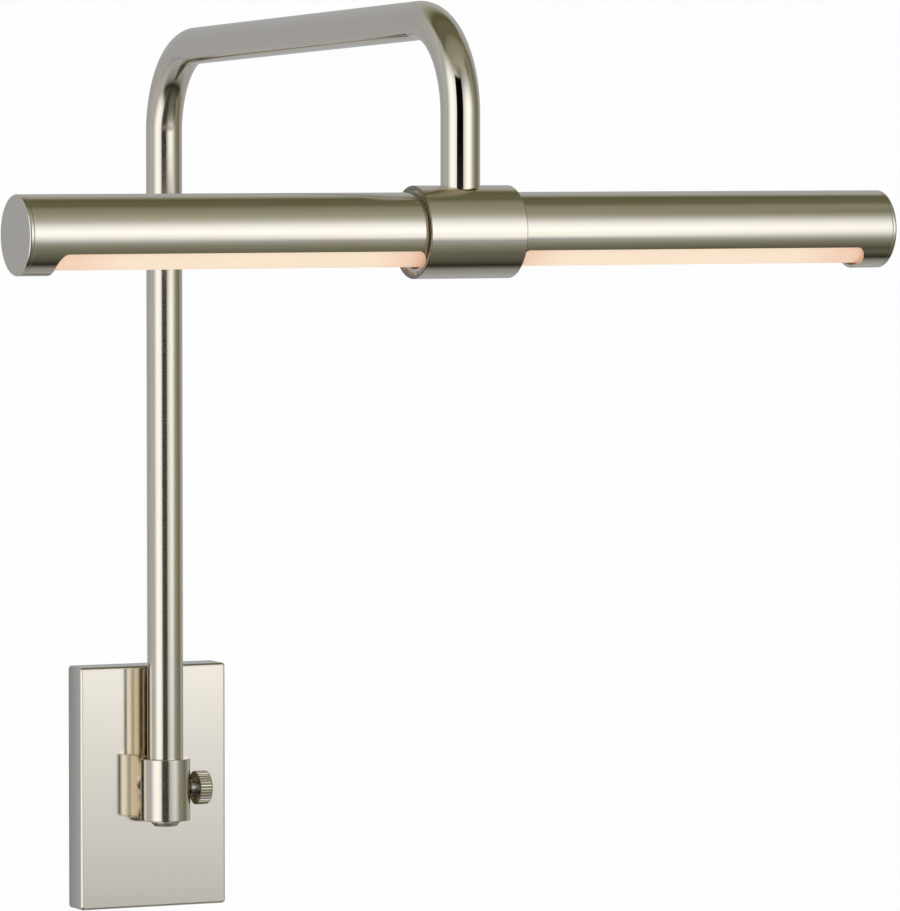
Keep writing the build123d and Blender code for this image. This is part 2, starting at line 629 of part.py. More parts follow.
def diffuser(side):
    """Frosted channel that snaps into the heat sink's side grooves by its inward lips."""
    near = INNER_START + 3
    lip_bottom = SINK_LEDGE_TOP + 0.05
    lip_top = SINK_GROOVE_TOP - 0.05
    lip_inner = SINK_CORE_WIDTH / 2 + 0.1
    with BuildPart() as channel:
        with BuildSketch(head_plane.offset(mirrored_start(side, near, SINK_END))):
            Circle(DIFFUSER_R)
            with Locations((0, lip_top - DIFFUSER_R)):
                Rectangle(2 * DIFFUSER_R, 2 * DIFFUSER_R, mode=Mode.INTERSECT)
            with Locations((0, (lip_bottom + lip_top) / 2)):
                Rectangle(2 * lip_inner, lip_top - lip_bottom, mode=Mode.SUBTRACT)
            with BuildSketch(mode=Mode.SUBTRACT):
                Circle(DIFFUSER_R - DIFFUSER_WALL)
                with Locations((0, lip_bottom - DIFFUSER_R)):
                    Rectangle(2 * DIFFUSER_R, 2 * DIFFUSER_R, mode=Mode.INTERSECT)
        extrude(amount=SINK_END - near)
    return channel


def board_screw_places(side):
    """Plan positions of a board's three screws, on alternate edges of the board."""
    edge = BOARD_WIDTH / 2 - BOARD_SCREW_HEAD_R - 0.1
    spots = ((22.0, edge), (92.0, -edge), (168.0, edge))
    return [(side * x, y) for x, y in spots]


def led_board(side):
    """Narrow circuit board with clearance holes for its screws."""
    with BuildPart() as board:
        with BuildSketch(boards_plane):
            with Locations((side * (BOARD_END + INNER_START + 1) / 2, 0)):
                Rectangle(BOARD_END - INNER_START - 1, BOARD_WIDTH)
            with Locations(*board_screw_places(side)):
                Circle(BOARD_SCREW_R, mode=Mode.SUBTRACT)
        extrude(amount=-BOARD_THICKNESS)
    return board


def led_row(side):
    """The light sources soldered along one board, a separate solid each."""
    with BuildPart() as leds:
        with BuildSketch(boards_plane.offset(-BOARD_THICKNESS)):
            with Locations((side * (WINDOW_OUTER_X + WINDOW_INNER_X) / 2, 0)):
                with GridLocations(LED_PITCH, 1, LED_COUNT, 1):
                    Rectangle(LED_LENGTH, LED_WIDTH)
        extrude(amount=-LED_HEIGHT)
    return leds


SINK_END = SHADE_LENGTH / 2 - CAP_BAND - CAP_SPIGOT - 0.2
boards_plane = Plane(origin=(0, HEAD_Y, SHADE_Z + SINK_BOTTOM), x_dir=(1, 0, 0), z_dir=(0, 0, 1))
for side, name in ((-1, "left"), (1, "right")):
    save(end_cap(side), f"end_cap_{name}")
    save(heat_sink(side), f"heat_sink_{name}")
    save(diffuser(side), f"diffuser_{name}")
    save(led_board(side), f"led_board_{name}")
    save(led_row(side), f"leds_{name}")

with BuildPart() as board_screws:
    screw_places = board_screw_places(-1) + board_screw_places(1)
    with BuildSketch(boards_plane.offset(-BOARD_THICKNESS)):
        with Locations(*screw_places):
            Circle(BOARD_SCREW_R)
    extrude(amount=BOARD_SCREW_LENGTH)
    with BuildSketch(boards_plane.offset(-BOARD_THICKNESS)):
        with Locations(*screw_places):
            Circle(BOARD_SCREW_HEAD_R)
    extrude(amount=-BOARD_SCREW_HEAD)
save(board_screws, "board_screws")

# ---------------------------------------------------------------- driver and head wiring
web_plane = Plane(origin=(0, HEAD_Y, SHADE_Z + SINK_WEB_TOP), x_dir=(1, 0, 0), z_dir=(0, 0, 1))
driver_right = -35.0
driver_middle = driver_right - DRIVER_LENGTH / 2
with BuildPart() as driver_board:
    with BuildSketch(web_plane):
        with Locations((driver_middle, 0)):
            Rectangle(DRIVER_LENGTH, DRIVER_WIDTH)
    extrude(amount=DRIVER_BOARD)
save(driver_board, "driver_board")

with BuildPart() as driver_parts:
    # input block, rectifier, controller and output block stand in a row; a coil is round
    for centre_x, length, width, height in (
        (driver_right - 4.0, 6.0, 9.0, 2.6),
        (driver_right - 14.0, 5.0, 6.0, 2.2),
        (driver_right - 36.0, 5.0, 4.0, 1.6),
        (driver_right - 46.0, 4.0, 6.0, 2.4),
    ):
        with BuildSketch(web_plane.offset(DRIVER_BOARD)):
            with Locations((centre_x, 0)):
                Rectangle(length, width)
        extrude(amount=height)
    with BuildSketch(web_plane.offset(DRIVER_BOARD)):
        with Locations((driver_right - 25.0, 0)):
            Circle(4.0)
    extrude(amount=3.0)
    with BuildSketch(web_plane.offset(DRIVER_BOARD)):
        with GridLocations(2.4, 6.0, 2, 2):
            with Locations((driver_right - 55.0, 0)):
                Rectangle(1.6, 1.0)
    extrude(amount=0.7)
save(driver_parts, "driver_parts")

TERMINAL_START = 12.0
TERMINAL_LENGTH = 14.0
with BuildPart() as terminal_block:
    with BuildSketch(web_plane):
        with Locations((TERMINAL_START + TERMINAL_LENGTH / 2, 0)):
            Rectangle(TERMINAL_LENGTH, 9.0)
    extrude(amount=4.1)
    with BuildSketch(web_plane.offset(4.1)):
        with Locations((TERMINAL_START + TERMINAL_LENGTH / 2, 0)):
            with GridLocations(7.0, 4.6, 2, 2):
                Circle(1.5)
    extrude(amount=-2.4, mode=Mode.SUBTRACT)
save(terminal_block, "terminal_block")

def straight_leads(spacing, height, start_x, end_x, radius):
    """Two parallel straight leads along X, one each side of the shade's middle plane."""
    with BuildPart() as wires:
        with BuildSketch(head_plane.offset(start_x)):
            with Locations((-spacing / 2, height), (spacing / 2, height)):
                Circle(radius)
        extrude(amount=end_x - start_x)
    return wires


# mains feed from the terminal block to the driver's input block
feed_height = SINK_WEB_TOP + DRIVER_BOARD + 1.2
save(straight_leads(3.2, feed_height, driver_right - 1.0, TERMINAL_START, SMALL_WIRE_R), "driver_feeds")

# output of the driver, turned down in the middle gap to the left board's end
turn_x = -3.0
board_z = SHADE_Z + SINK_BOTTOM - BOARD_THICKNESS / 2
output_routes = [
    [
        (driver_right, HEAD_Y + y, SHADE_Z + SINK_WEB_TOP + SMALL_WIRE_R + 0.2),
        (turn_x, HEAD_Y + y, SHADE_Z + SINK_WEB_TOP + SMALL_WIRE_R + 0.2),
        (turn_x, HEAD_Y + y, board_z),
        (-INNER_START - 1, HEAD_Y + y, board_z),
    ]
    for y in (-4.2, 4.2)
]
save(leads(output_routes, [2.4, 2.4], SMALL_WIRE_R - 0.1), "board_leads")

# links between the two boards, soldered under their inner ends
link_height = SINK_BOTTOM - BOARD_THICKNESS - SMALL_WIRE_R
save(straight_leads(5.0, link_height, -INNER_START - 4, INNER_START + 4, SMALL_WIRE_R), "board_links")
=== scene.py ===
import json
import math

import bmesh
import bpy
from mathutils import Matrix, Vector


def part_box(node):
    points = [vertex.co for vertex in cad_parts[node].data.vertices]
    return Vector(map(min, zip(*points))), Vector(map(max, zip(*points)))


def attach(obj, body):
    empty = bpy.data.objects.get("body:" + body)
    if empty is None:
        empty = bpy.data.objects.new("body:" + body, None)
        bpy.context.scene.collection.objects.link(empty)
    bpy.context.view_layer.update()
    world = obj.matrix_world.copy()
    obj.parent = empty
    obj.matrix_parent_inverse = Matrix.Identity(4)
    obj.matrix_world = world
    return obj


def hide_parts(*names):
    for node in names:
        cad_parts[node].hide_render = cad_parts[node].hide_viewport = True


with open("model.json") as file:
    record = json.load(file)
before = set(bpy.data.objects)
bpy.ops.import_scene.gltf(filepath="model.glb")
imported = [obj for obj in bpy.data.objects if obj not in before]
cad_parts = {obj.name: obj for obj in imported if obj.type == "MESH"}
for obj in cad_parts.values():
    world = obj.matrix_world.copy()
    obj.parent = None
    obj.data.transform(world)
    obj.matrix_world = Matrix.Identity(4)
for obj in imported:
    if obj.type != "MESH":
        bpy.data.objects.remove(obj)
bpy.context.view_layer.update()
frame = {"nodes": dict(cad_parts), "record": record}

# ---------------------------------------------------------------- sizes, in metres
ARM_RISE = 0.327              # axis of the arm's run above the plate's centre, at the rising leg
ARM_CLIMB = 0.010             # the run is this much higher at the falling leg
BEND_RADIUS = 0.038
WINDOW_CORNER = 0.004
WINDOW_OUTER_INSET = 0.013
WINDOW_LAP = 0.0009           # the windows run this far under the collar's rims
WINDOW_HALF_ANGLE = math.radians(62.5)
TUBE_WALL = 0.00125           # of the arm's tube and of the lamp head's
COLLAR_WALL = 0.0016
KNOB_THICKNESS = 0.0060
KNOB_FLUTES = 32
THREAD_PITCH = 0.0008
ROUND = 192                   # facets round a visible turned piece


def middle(node):
    """Centre of a CAD node's box."""
    low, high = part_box(node)
    return (low + high) / 2


shade_low, shade_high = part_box("shade_tube")
head = middle("shade_tube")
shade_radius = (shade_high.y - shade_low.y) / 2
collar_low, collar_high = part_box("collar")
collar_radius = (collar_high.y - collar_low.y) / 2
hub_low, hub_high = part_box("arm_hub")
hub_radius = (hub_high.x - hub_low.x) / 2
hub_axis = Vector((0, hub_low.y + hub_radius, 0))
plate_low, plate_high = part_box("wall_plate")
tube_radius = (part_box("arm_tube")[1].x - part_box("arm_tube")[0].x) / 2
knob_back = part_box("thumbscrew_knob")[1].x - KNOB_THICKNESS
body_nodes = frame["record"]["behaviour"]["bodies"]
body_of = {node: body for body, nodes in body_nodes.items() for node in nodes}


# ---------------------------------------------------------------- camera
def make_camera():
    """Long lens from the left of the light and a little above it."""
    data = bpy.data.cameras.new("camera")
    data.lens = 256.7
    data.sensor_width = 36.0
    data.clip_start = 0.05
    data.clip_end = 60.0
    camera = bpy.data.objects.new("camera", data)
    camera.location = (-1.1135, -2.6719, 0.2925)
    turn, tilt = math.radians(25.353), math.radians(-2.888)
    gaze = Vector((math.sin(turn) * math.cos(tilt), math.cos(turn) * math.cos(tilt), math.sin(tilt)))
    camera.rotation_mode = "QUATERNION"
    camera.rotation_quaternion = gaze.to_track_quat("-Z", "Y")
    bpy.context.scene.collection.objects.link(camera)
    bpy.context.scene.camera = camera


make_camera()
bpy.context.scene.view_settings.view_transform = "Standard"


# ---------------------------------------------------------------- node helpers
class Nodes:
    """Short calls for building a node tree."""

    def __init__(self, tree):
        self.tree = tree
        tree.nodes.clear()

    def add(self, kind, inputs=(), **settings):
        node = self.tree.nodes.new(kind)
        for key, value in settings.items():
            setattr(node, key, value)
        for key, value in dict(inputs).items():
            if isinstance(value, bpy.types.NodeSocket):
                self.tree.links.new(value, node.inputs[key])
            else:
                node.inputs[key].default_value = value
        return node

    def math(self, operation, first, second=0.0, third=0.0):
        return self.add("ShaderNodeMath", {0: first, 1: second, 2: third}, operation=operation).outputs[0]

    def smooth(self, value, low, high):
        """0 below low, 1 above high, smooth between."""
        limits = {"Value": value, "From Min": low, "From Max": high}
        return self.add("ShaderNodeMapRange", limits, interpolation_type="SMOOTHSTEP").outputs["Result"]

    def band(self, value, low, high, soft):
        """1 between low and high, with soft edges."""
        rise = self.smooth(value, low - soft, low + soft)
        fall = self.smooth(value, high - soft, high + soft)
        return self.math("SUBTRACT", rise, fall)

    def mix(self, factor, first, second, blend="MIX"):
        node = self.add("ShaderNodeMix", data_type="RGBA", blend_type=blend)
        for socket, value in ((0, factor), (6, first), (7, second)):
            if isinstance(value, bpy.types.NodeSocket):
                self.tree.links.new(value, node.inputs[socket])
            else:
                node.inputs[socket].default_value = value
        return node.outputs[2]

    def place(self):
        """Coordinates on the piece itself, which stay the same when it moves."""
        return self.add("ShaderNodeTexCoord").outputs["Object"]

    def split(self, vector):
        return self.add("ShaderNodeSeparateXYZ", {0: vector}).outputs

    def stretch(self, vector, factors):
        product = self.add("ShaderNodeVectorMath", {0: vector, 1: factors}, operation="MULTIPLY")
        return product.outputs["Vector"]

    def noise(self, place, scale, detail, roughness=0.5):
        settings = {"Vector": place, "Scale": scale, "Detail": detail, "Roughness": roughness}
        return self.add("ShaderNodeTexNoise", settings).outputs["Fac"]

    def bump(self, height, strength, distance):
        settings = {"Height": height, "Strength": strength, "Distance": distance}
        return self.add("ShaderNodeBump", settings).outputs["Normal"]

    def ramp(self, value, stops):
        node = self.add("ShaderNodeValToRGB", {"Fac": value})
        elements = node.color_ramp.elements
        while len(elements) < len(stops):
            elements.new(0.5)
        for element, (position, colour) in zip(elements, stops):
            element.position = position
            element.color = (*colour, 1)
        return node.outputs["Color"]


def new_material(name):
    material = bpy.data.materials.new(name)
    material.use_nodes = True
    return material, Nodes(material.node_tree)


def finish_material(n, shader):
    n.add("ShaderNodeOutputMaterial", {"Surface": shader.outputs[0]})


# ---------------------------------------------------------------- studio
WHITE = (1, 1, 1)
PALE = (0.985, 0.985, 0.985, 1)
DAYLIGHT = (0.987, 1.032, 1.10)      # tint of the light that the metal reflects
STUDIO_RADIUS = 2.2
STUDIO_CENTRE = (0, -0.2, 0.2)

# Areas of the room, each as (low, high, softness) in degrees; azimuth 0 is straight ahead of the wall plate.
BOXES = (-93.0, 58.0, 6.0)
GAP, GAP_HEIGHT = (-43.0, -7.5, 1.2), (-75.0, 36.0, 2.0)
GAP_DARKENS = (-0.5, 2.5)            # between these elevations the gap goes from dim to black
LEFT_BOX, LEFT_BOX_HEIGHT = (-120.0, -25.0, 4.0), (-40.0, 34.0, 16.0)
PATCH, PATCH_HEIGHT = (21.5, 28.5, 1.0), (-19.0, -4.0, 3.0)
SHELF_EDGE = (-25.6, -24.4, 0.3)


def tone(level, warm=0.0, light=DAYLIGHT):
    """A level of the light, olive with warm above 0 and bluish below."""
    return (level * light[0], level * light[1] * (1 - 0.1 * warm), level * light[2] * (1 - warm))


def angle_ramp(n, degrees, stops, light=DAYLIGHT, low=-180, span=360):
    """A colour ramp over a span of degrees from low; each stop is (angle, level, warmth)."""
    stops = [((angle - low) / span, tone(level, warm, light)) for angle, level, warm in stops]
    return n.ramp(n.math("MULTIPLY_ADD", degrees, 1 / span, -low / span), stops)


def area(n, azimuth, across, elevation, height):
    """1 inside a soft-edged part of the room, 0 outside."""
    return n.math("MULTIPLY", n.band(azimuth, *across), n.band(elevation, *height))


def overhead_light(n, lift):
    """The floor and the ceiling of the room; lift is 0 ahead, 90 overhead and 180 behind."""
    return angle_ramp(n, lift, (
        (-180, 0.44, -0.05), (-148, 0.43, -0.05), (-118, 0.36, 0), (-104, 0.32, 0.05), (-92, 0.10, 0.2),
        (-88, 0.02, 0.4), (-84, 0.02, 0.4), (-78, 0.07, 0.3), (-60, 0.135, 0.3), (-45, 0.19, 0.25),
        (45, 0.45, 0.24), (61, 0.31, 0.28), (70, 0.29, 0.28), (76, 0.25, 0.33), (84, 0.15, 0.45),
        (98, 0.15, 0.42), (108, 0.12, 0.5), (113, 0.14, 0.5), (120, 0.29, 0.32), (132, 0.42, 0.17),
        (148, 0.47, 0.05), (180, 0.44, -0.05),
    ))


def light_around(n, azimuth):
    """A soft box on each side ahead, and grey behind."""
    return angle_ramp(n, azimuth, (
        (-180, 0.44, -0.05), (-150, 0.42, -0.05), (-125, 0.48, 0), (-115, 0.52, 0), (-103, 0.47, 0.02),
        (-97, 0.52, 0.02), (-91, 0.74, 0), (-85, 1.02, 0), (-76, 1.24, 0), (-66, 1.3, 0), (-56, 1.2, 0),
        (-43, 1.0, 0), (-8, 0.7, 0.03), (-3, 0.82, 0.03), (3, 1.05, 0.02), (14, 1.32, 0), (26, 1.38, 0),
        (31, 1.3, 0), (37, 1.06, 0.05), (44, 0.74, 0.12), (51, 0.48, 0.18), (60, 0.32, 0.25),
        (72, 0.22, 0.30), (84, 0.18, 0.28), (91, 0.21, 0.2), (104, 0.38, 0.05), (120, 0.44, 0),
    ))


def light_falloff(n, azimuth, elevation):
    """How the soft boxes dim above and below; the middle of the left one doesn't."""
    falloff = angle_ramp(n, elevation, (
        (-60, 0.08, 0), (-50, 0.11, 0.3), (-37, 0.155, 0.28), (-27, 0.21, 0.2), (-22, 0.265, 0.15),
        (-17, 0.38, 0.05), (-12, 0.56, 0), (-7, 0.73, 0), (-2, 0.9, 0), (3, 1.0, 0), (9, 1.0, 0),
        (15, 0.92, 0), (22, 0.78, 0), (28, 0.60, 0), (33, 0.45, 0.08), (38, 0.37, 0.18), (45, 0.30, 0.25),
    ), WHITE)
    return n.mix(area(n, azimuth, LEFT_BOX, elevation, LEFT_BOX_HEIGHT), falloff, (*WHITE, 1))


def plate_patch(n, elevation):
    """What the wall plate mirrors towards the camera: bright at the top, dim at the foot."""
    return angle_ramp(n, elevation, (
        (-24, 0.10, 0), (-15, 0.40, -0.04), (-13.92, 0.66, -0.05), (-12.68, 0.79, -0.05),
        (-11.4, 0.86, -0.03), (-10.2, 0.96, -0.03), (-9.2, 1.15, -0.02), (-8.6, 1.30, 0),
        (-7.2, 1.28, 0.05), (16, 1.2, 0),
    ), low=-24, span=40)


def studio_light(n):
    """Colour of the room by direction. Its levels are set for how the metal looks from the camera."""
    direction = n.add("ShaderNodeVectorMath", {0: n.place()}, operation="NORMALIZE").outputs["Vector"]
    x, y, z = n.split(direction)
    degrees = 180 / math.pi
    ahead = n.math("MULTIPLY", y, -1.0)
    azimuth = n.math("MULTIPLY", n.math("ARCTAN2", x, ahead), degrees)
    elevation = n.math("MULTIPLY", n.math("ARCSINE", z), degrees)
    lift = n.math("MULTIPLY", n.math("ARCTAN2", z, ahead), degrees)
    around = light_around(n, azimuth)
    dimmed = n.mix(1.0, around, light_falloff(n, azimuth, elevation), "MULTIPLY")
    room = n.mix(n.band(azimuth, *BOXES), around, dimmed)
    room = n.mix(area(n, azimuth, PATCH, elevation, PATCH_HEIGHT), room, plate_patch(n, elevation))
    steep = n.smooth(n.math("ABSOLUTE", elevation), 40.0, 52.0)
    room = n.mix(steep, room, overhead_light(n, lift))
    gap_tone = n.mix(n.smooth(elevation, *GAP_DARKENS), (*tone(0.055, 0.15), 1), (0.003, 0.002, 0.001, 1))
    room = n.mix(area(n, azimuth, GAP, elevation, GAP_HEIGHT), room, gap_tone)
    behind = n.smooth(y, 0.3, 0.5)
    shelf_edge = n.math("MULTIPLY", n.band(elevation, *SHELF_EDGE), behind)
    return n.mix(shelf_edge, room, (0.10, 0.10, 0.09, 1))


def make_studio():
    """The room that polished metal reflects, and that nothing else sees."""
    bm = bmesh.new()
    bmesh.ops.create_uvsphere(bm, u_segments=48, v_segments=24, radius=STUDIO_RADIUS)
    mesh = bpy.data.meshes.new("studio")
    bm.to_mesh(mesh)
    bm.free()
    studio = bpy.data.objects.new("studio", mesh)
    studio.location = STUDIO_CENTRE
    bpy.context.scene.collection.objects.link(studio)
    material, n = new_material("studio")
    material.cycles.emission_sampling = "NONE"
    finish_material(n, n.add("ShaderNodeEmission", {"Color": studio_light(n), "Strength": 1.0}))
    mesh.materials.append(material)
    studio.visible_camera = False
    studio.visible_diffuse = False
    studio.visible_transmission = False
    studio.visible_shadow = False


def make_daylight():
    """Even pale light from everywhere, which is also the background."""
    world = bpy.data.worlds.new("daylight")
    bpy.context.scene.world = world
    world.use_nodes = True
    n = Nodes(world.node_tree)
    light = n.add("ShaderNodeBackground", {"Color": PALE, "Strength": 1.0})
    n.add("ShaderNodeOutputWorld", {"Surface": light.outputs[0]})


def make_floor():
    """A wide pale floor under the wall light, fading into the pale surroundings."""
    reach, depth = 14.0, -0.75
    mesh = bpy.data.meshes.new("floor")
    corners = [(-reach, -reach, depth), (reach, -reach, depth), (reach, reach, depth), (-reach, reach, depth)]
    mesh.from_pydata(corners, [], [(0, 1, 2, 3)])
    floor = bpy.data.objects.new("floor", mesh)
    bpy.context.scene.collection.objects.link(floor)
    material, n = new_material("floor")
    place = n.place()
    flat = n.stretch(place, (1, 1, 0))
    distance = n.add("ShaderNodeVectorMath", {0: flat}, operation="LENGTH").outputs["Value"]
    far = n.smooth(distance, 0.4, 2.2)
    grain = n.noise(place, 9.0, 3.0)
    speckle = n.ramp(grain, ((0.3, (0.90, 0.90, 0.90)), (0.7, (0.94, 0.94, 0.94))))
    near_shader = n.add("ShaderNodeBsdfDiffuse", {"Color": speckle}).outputs[0]
    pale = n.add("ShaderNodeEmission", {"Color": PALE, "Strength": 1.0}).outputs[0]
    top = n.add("ShaderNodeMixShader", {0: far, 1: near_shader, 2: pale}).outputs[0]
    clear = n.add("ShaderNodeBsdfTransparent").outputs[0]
    under = n.add("ShaderNodeNewGeometry").outputs["Backfacing"]
    finish_material(n, n.add("ShaderNodeMixShader", {0: under, 1: top, 2: clear}))
    mesh.materials.append(material)
    floor.visible_glossy = False
    floor.visible_diffuse = False


make_studio()
make_daylight()
make_floor()


# ---------------------------------------------------------------- materials
NICKEL = (0.785, 0.722, 0.61)        # each bounce between nickel surfaces makes the light browner
BEVEL_START, BEVEL_FULL = 0.0016, 0.0011     # from a plate's outline inwards
FRONT_START, FRONT_FULL = 0.0014, 0.0008     # from a plate's front backwards


def edge_mask(n, width):
    """Near 1 on outer edges narrower than width, 0 on open faces."""
    soft = n.add("ShaderNodeBevel", {"Radius": width}, samples=4).outputs["Normal"]
    normal = n.add("ShaderNodeNewGeometry").outputs["Normal"]
    likeness = n.add("ShaderNodeVectorMath", {0: soft, 1: normal}, operation="DOT_PRODUCT").outputs["Value"]
    return n.smooth(n.math("SUBTRACT", 1.0, likeness), 0.005, 0.12)


def lighter_edges(n, colour, amount):
    """The colour, worn lighter on fine outer edges."""
    worn = n.math("MULTIPLY", edge_mask(n, 0.0004), amount)
    return n.mix(worn, colour, (*WHITE, 1), "SCREEN")


def painted_shade_mask(n, place, axis, unshaded_end, shaded_end):
    """Mask of painted shade: 0 where it starts and 1 where it is full, by distance from the piece's middle
    along an axis.
    """
    reach = n.math("ABSOLUTE", n.split(place)[axis])
    limits = {"Value": reach, "From Min": unshaded_end, "From Max": shaded_end}
    return n.add("ShaderNodeMapRange", limits).outputs["Result"]


def bevel_mask(n, place, half_width, half_height, depth):
    """1 on the bevel round a plate's front, 0 on its face and on the rest of its sides."""
    across, out, up = n.split(place)
    beside = n.math("SUBTRACT", n.math("ABSOLUTE", across), half_width)
    above = n.math("SUBTRACT", n.math("ABSOLUTE", up), half_height)
    outline = n.smooth(n.math("MAXIMUM", beside, above), -BEVEL_START, -BEVEL_FULL)
    return n.math("MULTIPLY", outline, n.smooth(out, FRONT_START - depth, FRONT_FULL - depth))


def nickel_colour(n, place, smear, tint, painted_shade):
    """The tint, a little warmer in smears, brighter on edges and darkened by painted shade where that is
    asked for.
    """
    warm = (tint[0] * 1.01, tint[1] * 0.985, tint[2] * 0.95)
    bright = tuple(min(1, c * 1.12) for c in tint)
    colour = n.ramp(smear, ((0.32, warm), (0.68, tint)))
    colour = n.mix(n.math("MULTIPLY", edge_mask(n, 0.0007), 0.7), colour, (*bright, 1))
    if not painted_shade:
        return colour
    axis, unshaded_end, shaded_end, brightness = painted_shade
    # painted shade: the tint darkened by the given brightness
    shaded_tint = tuple(c * brightness for c in tint)
    return n.mix(painted_shade_mask(n, place, axis, unshaded_end, shaded_end), colour, (*shaded_tint, 1))


def polished_nickel(
    name, roughness, lay=(1, 1, 1), scratch=0.010, softer=None, bevel=None, painted_shade=None, tint=NICKEL
):
    """Warm polished nickel: faint polishing lines along lay, soft smears, brighter edges.

    softer is the roughness that the polish reaches towards the wall, where it differs.
    bevel is (half width, half height, depth, added roughness) of a plate with a bevelled front.
    Painted shade, as (axis, distance where it starts, where it is full, brightness there), darkens a part
    towards one end."""
    material, n = new_material(name)
    place = n.place()
    smear = n.noise(place, 38.0, 4.0, 0.55)
    specks = n.noise(place, 900.0, 2.0)
    colour = nickel_colour(n, place, smear, tint, painted_shade)
    spread = n.math("MULTIPLY_ADD", smear, 0.5 * roughness, 0.72 * roughness)
    if softer:
        wallward = n.smooth(n.split(place)["Y"], -0.24, -0.05)
        spread = n.math("MULTIPLY", spread, n.math("MULTIPLY_ADD", wallward, softer / roughness - 1, 1.0))
    rough = n.math("MULTIPLY_ADD", n.smooth(specks, 0.62, 0.75), 0.05, spread)
    if bevel:
        *sizes, added = bevel
        rough = n.math("MULTIPLY_ADD", bevel_mask(n, place, *sizes), added, rough)
    lines = n.noise(n.stretch(place, lay), 1600.0, 2.0)
    bump = n.bump(lines, scratch, 0.0002)
    surface = {"Base Color": colour, "Metallic": 1.0, "Roughness": rough, "Normal": bump}
    finish_material(n, n.add("ShaderNodeBsdfPrincipled", surface))
    return material


def plain_metal(name, tint, roughness, lay=(1, 1, 1), blotch=0.12):
    """Zinc plate, brass or aluminium: fine machining lines and a blotchy tone."""
    material, n = new_material(name)
    place = n.place()
    cloud = n.noise(place, 220.0, 5.0)
    dark = tuple(c * (1 - blotch) for c in tint)
    colour = lighter_edges(n, n.ramp(cloud, ((0.3, dark), (0.7, tint))), 0.5)
    lines = n.noise(n.stretch(place, lay), 2500.0, 3.0)
    rough = n.math("MULTIPLY_ADD", cloud, 0.25, roughness - 0.12)
    bump = n.bump(lines, 0.12, 0.0001)
    surface = {"Base Color": colour, "Metallic": 1.0, "Roughness": rough, "Normal": bump}
    finish_material(n, n.add("ShaderNodeBsdfPrincipled", surface))
    return material


def plastic(name, tint, roughness=0.45, grain=700.0, relief=0.08, variation=0.08):
    """Moulded or extruded plastic with a fine grain."""
    material, n = new_material(name)
    place = n.place()
    cloud = n.noise(place, 120.0, 4.0)
    fine = n.noise(place, grain, 2.0)
    low = tuple(c * (1 - variation) for c in tint)
    high = tuple(min(1, c * (1 + variation)) for c in tint)
    colour = lighter_edges(n, n.ramp(cloud, ((0.3, low), (0.7, high))), 0.25)
    rough = n.math("MULTIPLY_ADD", fine, 0.16, roughness - 0.08)
    bump = n.bump(fine, relief, 0.0002)
    shader = n.add("ShaderNodeBsdfPrincipled", {"Base Color": colour, "Roughness": rough, "Normal": bump})
    finish_material(n, shader)
    return material


def circuit_board(name, mask, copper):
    """Solder mask over faint copper tracks."""
    material, n = new_material(name)
    place = n.place()
    tracks = n.add(
        "ShaderNodeTexBrick",
        {"Vector": place, "Color1": (0, 0, 0, 1), "Color2": (0, 0, 0, 1), "Mortar": (1, 1, 1, 1),
         "Scale": 260.0, "Mortar Size": 0.05},
    ).outputs["Color"]
    fine = n.noise(place, 900.0, 2.0)
    colour = n.mix(tracks, (*mask, 1), (*copper, 1))
    rough = n.math("MULTIPLY_ADD", fine, 0.2, 0.25)
    bump = n.bump(tracks, 0.3, 0.00005)
    shader = n.add("ShaderNodeBsdfPrincipled", {"Base Color": colour, "Roughness": rough, "Normal": bump})
    finish_material(n, shader)
    return material


def lit_diffuser(name):
    """Frosted acrylic lit from inside: creamy along its length, pinker and dimmer towards its ends."""
    material, n = new_material(name)
    place = n.place()
    lit_from, lit_to, fade = 0.034, 0.158, 0.014
    lit = n.band(n.math("ABSOLUTE", n.split(place)["X"]), lit_from, lit_to, fade)
    frost = n.noise(place, 1400.0, 3.0)
    cloud = n.noise(place, 30.0, 2.0)
    glow = n.mix(lit, (0.46, 0.22, 0.12, 1), (0.50, 0.37, 0.24, 1))
    glow = n.mix(n.math("MULTIPLY", n.smooth(cloud, 0.35, 0.7), 0.25), glow, (0.52, 0.40, 0.28, 1))
    colour = n.ramp(frost, ((0.3, (0.45, 0.41, 0.35)), (0.7, (0.50, 0.46, 0.40))))
    bump = n.bump(frost, 0.15, 0.0001)
    rough = n.math("MULTIPLY_ADD", frost, 0.2, 0.42)
    shader = n.add(
        "ShaderNodeBsdfPrincipled",
        {"Base Color": colour, "Roughness": rough, "Normal": bump, "Emission Color": glow,
         "Emission Strength": 1.0},
    )
    finish_material(n, shader)
    return material


def lit_led(name):
    """Yellow phosphor, faintly lit; the white frame round it isn't drawn."""
    material, n = new_material(name)
    place = n.place()
    fine = n.noise(place, 2000.0, 2.0)
    colour = n.ramp(fine, ((0.3, (0.86, 0.68, 0.16)), (0.7, (0.95, 0.80, 0.30))))
    rough = n.math("MULTIPLY_ADD", fine, 0.2, 0.2)
    shader = n.add(
        "ShaderNodeBsdfPrincipled",
        {"Base Color": colour, "Roughness": rough, "Emission Color": colour, "Emission Strength": 1.5},
    )
    finish_material(n, shader)
    return material


